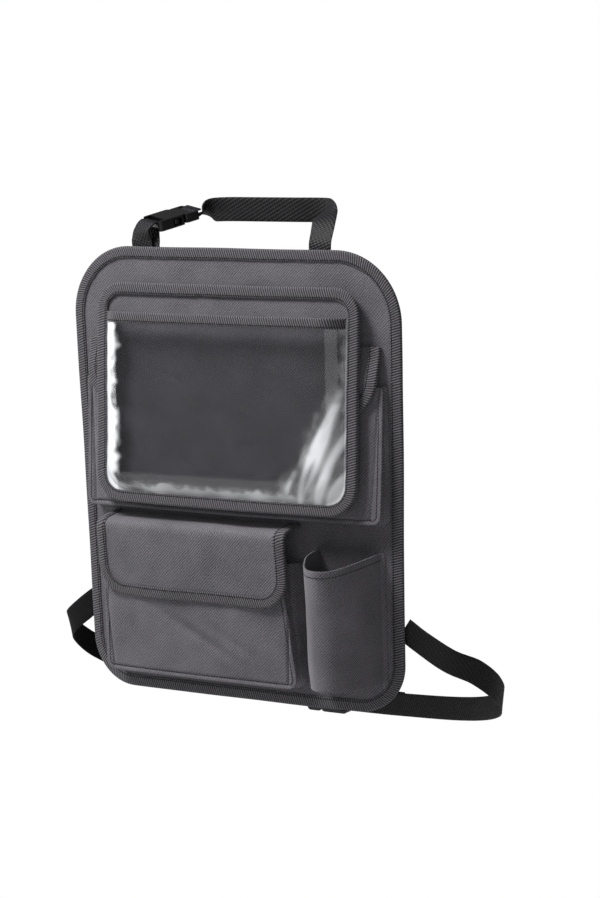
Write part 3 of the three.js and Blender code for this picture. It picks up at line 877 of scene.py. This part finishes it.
def smallFlapLife(a, b):
    loose = smallFlap["wave"] * ripple(a, b, 48, 9) + smallFlap["wrinkle"] * ripple(a, b, 18, 10)
    middle = (smallPocket["left"] + smallPocket["right"]) / 2
    sideways = min(abs(a - middle) / smallFlap["bulgeHalfWidth"], 1)
    full = (1 - sideways**4) * math.sin(math.pi * min(-b / smallFlap["bulgeLength"], 1))
    bulge = smallFlap["bulge"] * full
    beyond = max(smallPocket["left"] + smallFlap["curlFrom"] - a, 0) / smallFlap["curlWidth"]
    return loose * smooth(-b / 30) + bulge * smooth(-b / 20) - smallFlap["curl"] * beyond**2


addFlap(
    "wideFlap",
    wideFlapProfile(),
    widePocket["left"] + wideFlap["margin"],
    widePocket["right"] - wideFlap["margin"],
    wideFlap["radius"],
    ["upper_flap", "upper_flap_binding"],
    wideFlapLife,
)
addFlap(
    "smallFlap",
    smallFlapProfile(),
    smallPocket["left"] + smallPocket["leanLeft"] - smallPocket["seamEdge"] + smallFlap["marginLeft"],
    smallPocket["right"] - smallPocket["leanRight"] + smallFlap["marginRight"],
    smallFlap["radius"],
    ["lower_flap", "lower_flap_binding"],
    smallFlapLife,
)
print("flaps ready")


# The clear sleeve

sleeve = {
    "halfWidth": 154.5,
    "low": 5,
    "high": 229,
    "lowRadius": 30,
    "highRadius": 27,
    "stand": fastener + cloth + 2 * layer + gap,
}
tray = {
    "edge": sheetGoods["tapeWidth"] + 1.5,
    "open": 30,
    "radius": 26,
    "mouthDepth": 17,
    "bottomDepth": 11,
    "slope": 22,  # the film rises over this width
    "wave": 0.9,
    "wrinkle": 0.5,
    "pucker": 0.4,
}
trayLow = sleeve["low"] + tray["edge"]
trayHigh = sleeve["high"] - tray["open"]
core = cloth + gap + film


def sleeveSurface(a, b, out):
    return widePlane(a, sleeve["stand"] + out, b)


def trayEdge(a, b):
    # How far inside the raised part a place on the film is
    half = sleeve["halfWidth"] - tray["edge"]
    radius = tray["radius"]
    sideways = abs(a) - half + radius
    downward = trayLow + radius - b
    outside = math.hypot(max(sideways, 0), max(downward, 0)) + min(max(sideways, downward), 0)
    return radius - outside


# Where the film's painted glare lies: bands at its sides and bottom, and two of its corners
paintedGlare = {
    "leftWidth": 22,
    "rightWidth": 7,
    "rightShare": 0.5,
    "lowHeight": 12,
    "lowShare": 0.65,
    "cornerWidth": 84,
    "cornerHeight": 140,
    "topWidth": 42,
    "topHeight": 20,
    "topShare": 0.8,
}


def slopeAcross(right, width, up, height):
    # 0 on the line that cuts a corner off, and 1 at the corner itself
    return right / width + up / height - 1


def paintedGlareAt(a, b):
    # How much painted glare the film shows, white standing in for the lamps' reflections: at its left and
    # bottom, a little on its right, and in two of its corners
    half = sleeve["halfWidth"] - tray["edge"]
    ragged = ripple(a, b, 9, 31) * 7 + ripple(a, b, 26, 32) * 6
    wide, tall = paintedGlare["cornerWidth"], paintedGlare["cornerHeight"]
    topWide, topTall = paintedGlare["topWidth"], paintedGlare["topHeight"]
    left = smooth((-a - half + paintedGlare["leftWidth"] + ragged) / 9)
    right = paintedGlare["rightShare"] * smooth((a - half + paintedGlare["rightWidth"] + ragged * 0.5) / 6)
    low = smooth((trayLow + paintedGlare["lowHeight"] + ragged * 0.6 - b) / 7)
    low *= paintedGlare["lowShare"] + 0.5 * ripple(a, 0, 30, 33)
    # painted glare in streaks towards the lower right corner
    streaks = 0.15 + 0.85 * smooth(0.5 + 1.5 * ripple(a - b * 0.45, b * 0.2, 10, 34))
    nearCorner = slopeAcross(a - half + wide, wide, trayLow + tall - b, tall)
    corner = streaks * smooth((nearCorner + ragged * 0.012) * 3.5)
    nearTop = slopeAcross(topWide - half - a, topWide, b - trayHigh + topTall, topTall)
    high = paintedGlare["topShare"] * smooth(nearTop * 3)
    return min(max(left, right, low, corner, high, 0), 1)


def filmSurface(a, b, out):
    depth = lerp(tray["bottomDepth"], tray["mouthDepth"], (b - trayLow) / (trayHigh - trayLow))
    inside = min(max(trayEdge(a, b) / tray["slope"], 0), 1)
    raised = math.sin(math.pi / 2 * inside) ** 0.8
    loose = smooth(trayEdge(a, b) / 40)
    waves = tray["wave"] * ripple(a, b * 0.7, 55, 11) + tray["wrinkle"] * ripple(a + b, a - b, 30, 12)
    puckers = tray["pucker"] * paintedGlareAt(a, b) * ripple(a, b, 11, 14) * smooth(trayEdge(a, b) / 6)
    stand = cloth + gap + film / 2 + raised * (depth - film) + loose * waves + puckers
    return sleeveSurface(a, b, stand + out)


def addSleeve():
    half, low, high = sleeve["halfWidth"], sleeve["low"], sleeve["high"]
    corners = evenCorners((half, low, sleeve["lowRadius"]), (half, high, sleeve["highRadius"]))

    def back(a, b, out):
        near = min(half - abs(a), b - low, high - b)
        return sleeveSurface(a, b, cloth / 2 + out + 0.25 * ripple(a, b, 60, 2) * smooth((near - 12) / 20))

    bm = sheetMesh(corners, 70, 60, back)
    piece = clothPiece("sleeveBack", bm, "tablet_sleeve_back")

    def middle(a, b, out):
        return sleeveSurface(a, b, core / 2 + out)

    stations = roundedPath(corners)
    binding = bound("sleeveTape", stations, middle, core, ["tablet_sleeve_binding"])

    inner = half - 1
    window = evenCorners((inner, low + 1, sleeve["lowRadius"] - 1), (inner, trayHigh, 0.5))
    bm = sheetMesh(window, 170, 120, filmSurface)
    flat = bm.loops.layers.uv["flat"]
    # Each corner of the film carries its painted glare mask, which the film's material turns white
    glare = bm.verts.layers.float.new("glare")
    for loop in (loop for face in bm.faces for loop in face.loops):
        loop.vert[glare] = paintedGlareAt(*(loop[flat].uv / mm))
    finishPiece("sleeveFilm", bm, vinyl, "clear_film", ["tablet_sleeve_window"], film, 0)

    reach = half - tray["edge"] - 0.5
    mouth = roundedPath([(reach, trayHigh, 0), (-reach, trayHigh, 0)], closed=False, step=4.0)
    width = sheetGoods["mouthTapeWidth"]
    bound("sleeveMouthTape", mouth, filmSurface, film, ["tablet_sleeve_mouth_binding"], width, closed=False)


addSleeve()
print("sleeve ready")


# The round pocket

roundPocket = {
    "centre": 132.5,
    "halfWidth": 34.5,
    "reach": 62,
    "spread": 0.05,  # this share wider at the rim, and as much narrower at the floor
    "top": -69,
    "bottom": -201,
    "dip": 9,
    "flange": 5,
    "baseRise": 4,
    "floorInset": 3.2,
    "wave": 0.8,
    "fold": 1.6,
    "stitchHeight": 0.945,  # as a share of the wall's height
}


def ovalLine(inset, flange):
    # The pocket's wall seen from above, as stations
    half, reach = roundPocket["halfWidth"] - inset, roundPocket["reach"] - inset
    steps = 48
    points = []
    for k in range(steps + 1):
        angle = math.pi * (1 + k / steps)
        x = roundPocket["centre"] + half * math.cos(angle)
        points.append(Vector((x, onPanel + reach * math.sin(angle))))
    if flange:
        points.insert(0, points[0] - Vector((flange, 0)))
        points.append(points[-1] + Vector((flange, 0)))
    return [(point, None, length) for point, length in zip(points, runningLengths(points))]


def addRoundPocket():
    line = ovalLine(0, roundPocket["flange"])
    centre = roundPocket["centre"]
    columns, rows = 84, 40
    length = line[-1][2]
    tall = roundPocket["top"] - roundPocket["bottom"]

    def wall(i, j):
        share, upward = i / columns, j / rows
        spot = pathAt(line, share)
        front = min(-spot.y / roundPocket["reach"], 1)
        top = roundPocket["top"] - roundPocket["dip"] * front**2
        b = lerp(roundPocket["bottom"], top, upward)
        wider = 1 + roundPocket["spread"] * (2 * upward - 1) * math.sin(math.pi * share)
        spot = Vector((centre + (spot.x - centre) * wider, spot.y * wider))
        outward = Vector((spot.x - centre, spot.y * 0.5)).normalized()
        loose = math.sin(math.pi * share) ** 0.5
        waves = roundPocket["wave"] * ripple(share * length, b, 34, 21)
        folds = roundPocket["fold"] * ripple(share * length, b * 0.25, 19, 22)  # they run up and down
        life = loose * smooth(upward / 0.15)  # the floor holds the wall still
        soft = life * (waves + folds) - 0.5 * (loose - life)
        place = settled(spot.x + outward.x * soft, spot.y + outward.y * soft, b)
        return place, (share * length, upward * tall)

    bm = gridMesh(columns, rows, wall)
    piece = clothPiece("roundPocketWall", bm, "bottle_pocket_wall")

    rim = []
    steps = 120
    for k in range(steps + 1):
        place, _ = wall(columns * k / steps, rows * roundPocket["stitchHeight"])
        spot = pathAt(line, k / steps)
        outward = Vector((spot.x - centre, spot.y * 0.5, 0)).normalized()
        rim.append(place + outward * (cloth / 2 + 0.05))
    finishPiece("roundPocketStitches", stitchMesh(rim), thread, "cloth")

    floorLine = ovalLine(cloth / 2 + gap + roundPocket["floorInset"], 0)
    b = roundPocket["bottom"] + roundPocket["baseRise"] + cloth / 2
    around, rings = 40, 10

    def floor(i, j):
        here = Vector((centre, onPanel)).lerp(pathAt(floorLine, i / around), j / rings)
        return settled(here.x, here.y, b), (here.x, here.y)

    bm = gridMesh(around, rings, floor, closed=True)
    base = clothPiece("roundPocketFloor", bm, "bottle_pocket_base")


addRoundPocket()
print("round pocket ready")


# Straps and buckles

buckle = {"length": 50, "bar": 3.4, "barThick": 3.5}
strapBack = gap + sheetGoods["webThick"] / 2
topStrap = {"spread": 105, "sewn": 8, "tail": 7, "back": 67.5, "rise": 35.5}
footStrap = {"sewn": -145, "back": 168, "drop": 123}
lengthwise = Vector((1, 0, 0))
upright = Vector((0, 0, 1))


def buckleFrame(centre, axis, facing):
    axis = Vector(axis).normalized()
    across = Vector(facing).normalized().cross(axis).normalized()
    turned = Matrix((axis, across, axis.cross(across))).transposed()
    return Vector(centre), turned


# How a strap comes to a bar from below: through a point so far out and so high from the bar's middle,
# then round the bar from the angle "start" on. Above the bar it leaves by barLeave.
levelApproach = {"out": 6, "height": -3.9, "start": -90}
steepApproach = {"out": 3, "height": -7, "start": -45}
barLeave = {"out": 6, "lift": 0.4}


def roundBar(place, side, sense, approach):
    # Strap points round the bar on one side of a buckle, from below it to above it
    centre, turned = place
    radius = math.hypot(buckle["bar"] / 2, buckle["barThick"] / 2) + gap + sheetGoods["webThick"] / 2
    across = turned @ Vector((0, 1, 0))
    across = across * math.copysign(1, across.dot(sense))
    barCentre = buckle["length"] / 2 - buckle["bar"] / 2
    route = [(barCentre + approach["out"], approach["height"])]
    for degrees in range(approach["start"], 91, 45):
        angle = math.radians(degrees)
        route.append((barCentre - radius * math.cos(angle), radius * math.sin(angle)))
    route.append((barCentre + barLeave["out"], radius + barLeave["lift"]))
    return [(centre + turned @ Vector((side * out, 0, high)), across) for out, high in route]


def strapMesh(stations):
    # A flat strap through points that each have the direction of its width
    points = [Vector(p) for p, _ in stations]
    perSpan = 8
    line, sides = [], []
    for k, (start, end) in enumerate(zip(points, points[1:])):
        chord = (end - start).length / 3
        leave = (end - points[max(k - 1, 0)]).normalized() * chord
        arrive = (points[min(k + 2, len(points) - 1)] - start).normalized() * chord
        curve = interpolate_bezier(start, start + leave, end - arrive, end, perSpan + 1)
        first = min(k, 1)  # a later span starts where the one before it ends
        for step, here in enumerate(curve[first:], first):
            line.append(here)
            sides.append(Vector(stations[k][1]).lerp(Vector(stations[k + 1][1]), step / perSpan))
    lengths = runningLengths(line)
    rows = 6
    half = sheetGoods["webbing"] / 2

    def at(i, j):
        heading = (line[min(i + 1, len(line) - 1)] - line[max(i - 1, 0)]).normalized()
        side = sides[i] - heading * sides[i].dot(heading)
        share = j / rows * 2 - 1
        return line[i] + side.normalized() * half * share, (lengths[i], share * half)

    return gridMesh(len(line) - 1, rows, at)


def addStrap(name, stations, material, slotName, node):
    bm = strapMesh(stations)
    finishPiece(name, bm, material, slotName, [node], sheetGoods["webThick"], 0.4, evenWall=False)


def addTopStraps():
    spread, tail, back = topStrap["spread"], topStrap["tail"], topStrap["back"]
    top = panel["top"]
    run = top + topStrap["rise"]
    sewnAt = top - topStrap["sewn"]
    place = buckleFrame((13 - spread, back - topStrap["rise"], run - 7.5), (0.4, 0.89, 0.2), (0, -0.3, 1))
    leftX = -spread - 3 + tail
    left = [
        ((leftX, strapBack + 1.9, sewnAt), lengthwise),
        ((leftX, strapBack + 2, top - 1), lengthwise),
        ((leftX - 0.5, strapBack + 3, top + 4), lengthwise),
        *roundBar(place, -1, lengthwise, steepApproach),
        ((leftX - tail, 1.2, top + 18.5), (0.9, -0.35, 0)),
        ((leftX - tail - 0.5, strapBack + 0.2, top + 7.5), lengthwise),
        ((leftX - tail, strapBack + 0.1, top), lengthwise),
        ((leftX - tail, strapBack, sewnAt + 1), lengthwise),
    ]
    right = [
        ((spread, strapBack, sewnAt), lengthwise),
        ((spread, strapBack + 0.1, top + 1), lengthwise),
        ((spread - 0.3, strapBack + 1.6, top + 9), lengthwise),
        ((spread - 1.5, 9, run - 17), lengthwise),
        ((spread - 6, 21, run - 7), (1, 0.15, 0.1)),
        ((spread - 13, 36, run - 2), (0.95, 0.1, 0.25)),
        ((spread - 22, back - 14, run), (0.5, 0.1, 0.85)),
        ((spread - 33, back, run), upright),
        ((spread - 70, back, run), upright),
        ((100 - spread, back, run), upright),
        ((65 - spread, back, run), upright),
        ((49 - spread, back + 0.5, run - 0.5), (0.35, -0.1, 0.93)),
        ((37 - spread, back + 0.5, run - 1.5), (0.7, -0.25, 0.65)),
        ((29 - spread, back - 3, run - 3.5), (0.9, -0.38, 0.25)),
        *roundBar(place, 1, lengthwise, levelApproach)[1:],
    ]
    addStrap("topStrapLeft", left, webbing, "webbing", "headrest_strap_left")
    addStrap("topStrapRight", right, webbing, "webbing", "headrest_strap_right")


# The lower straps' way: out from the panel's side, the shares of the way back and down, and the width
footRun = [
    {"out": 0, "back": 0, "down": 0, "across": (0.57, 0, 0.82)},
    {"out": 18, "back": 0.012, "down": 0.1, "across": (0.57, 0, 0.82)},
    {"out": 44, "back": 0.07, "down": 0.25, "across": (0.5, 0.15, 0.82)},
    {"out": 60, "back": 0.24, "down": 0.38, "across": (0.25, 0.4, 0.85)},
    {"out": 62, "back": 0.5, "down": 0.6, "across": (0, 0.5, 0.86)},
    {"out": 40, "back": 0.78, "down": 0.82, "across": (-0.1, 0.3, 0.95)},
    {"out": -10, "back": 0.95, "down": 0.95, "across": (0, 0.1, 1)},
    {"out": -98, "back": 1, "down": 1, "across": (0, 0, 1)},
]


def addFootStraps():
    sewn, back, drop = footStrap["sewn"], footStrap["back"], footStrap["drop"]
    low = sewn - drop
    front = settled(panel["halfBottom"], strapBack, sewn).y
    place = buckleFrame((0, back, low), (-1, 0, 0), (0, 1, 0))
    looks = ((1, "Right", webbing, "webbing"), (-1, "Left", elastic, "elastic"))
    for side, word, material, slotName in looks:
        stations = []
        for point in footRun:
            x = side * (panel["halfBottom"] + point["out"])
            y = lerp(front, back - 1, point["back"])
            wide, deep, tall = point["across"]
            across = Vector((side * wide, deep, tall)).normalized()
            stations.append(((x, y, sewn - drop * point["down"]), across))
        bend = roundBar(place, -side, upright, levelApproach)
        end = bend[-1][0]
        stations += bend
        stations += [((end.x + side * out, end.y + 0.4, low), upright) for out in (35, 63)]
        addStrap(f"footStrap{word}", stations, material, slotName, f"lower_strap_{word.lower()}")


addTopStraps()
addFootStraps()

# The buckles and the patches are shown as the solids that they are in the frame
finishes = {"_buckle_": acetal, "_patch": pile}
for word, material in finishes.items():
    for node in [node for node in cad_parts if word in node]:
        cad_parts[node].material_slots[0].material = material
print("straps ready")


# Floor, light and background

studio = {
    "floor": -0.62,
    "sky": 0.11,
    "lamps": [
        {"name": "keyLamp", "place": (-0.66, -0.88, 1.72), "size": 0.7, "power": 64},
        {"name": "sideLamp", "place": (-2.0, -0.5, 0.2), "size": 1.4, "power": 14},
        {"name": "fillLamp", "place": (1.5, -2.1, 0.3), "size": 2.2, "power": 12},
    ],
}


def showWhite(material, surface, lit, outputName):
    # What the camera sees, also through the film, is plain white. All else sees the lit shader.
    path = addNode(material, "LightPath")
    seen = addNode(
        material,
        "Math",
        {"operation": "MAXIMUM"},
        {0: path.outputs["Is Camera Ray"], 1: path.outputs["Is Transmission Ray"]},
    )
    white = addNode(material, surface, {"Color": (1, 1, 1, 1), "Strength": 1.0})
    links = {0: seen.outputs[0], 1: lit.outputs[0], 2: white.outputs[0]}
    mix = addNode(material, "MixShader", None, links)
    connect(material, material.node_tree.nodes[outputName], {"Surface": mix.outputs[0]})


def addStudio():
    scene = bpy.context.scene
    scene.view_settings.view_transform = "Standard"
    world = bpy.data.worlds.new("paleSky")
    scene.world = world
    world.use_nodes = True
    sky = world.node_tree.nodes["Background"]
    sky.inputs["Color"].default_value = (1, 1, 1, 1)
    sky.inputs["Strength"].default_value = studio["sky"]
    showWhite(world, "Background", sky, "World Output")

    paper, shader = newMaterial("palePaper", {"Base Color": "#d4d4d4", "Roughness": 0.9})
    showWhite(paper, "Emission", shader, "Material Output")
    bm = bmesh.new()
    bmesh.ops.create_grid(bm, x_segments=1, y_segments=1, size=6)
    bmesh.ops.translate(bm, verts=bm.verts, vec=(0, 0, studio["floor"]))
    floor = newObject("floor", bm, paper)

    for lamp in studio["lamps"]:
        data = bpy.data.lights.new(lamp["name"], "AREA")
        data.shape = "SQUARE"
        data.size = lamp["size"]
        data.energy = lamp["power"]
        light = bpy.data.objects.new(lamp["name"], data)
        light.location = lamp["place"]
        toMiddle = -Vector(lamp["place"])
        light.rotation_euler = toMiddle.to_track_quat("-Z", "Y").to_euler()
        scene.collection.objects.link(light)


addStudio()
print("scene ready")
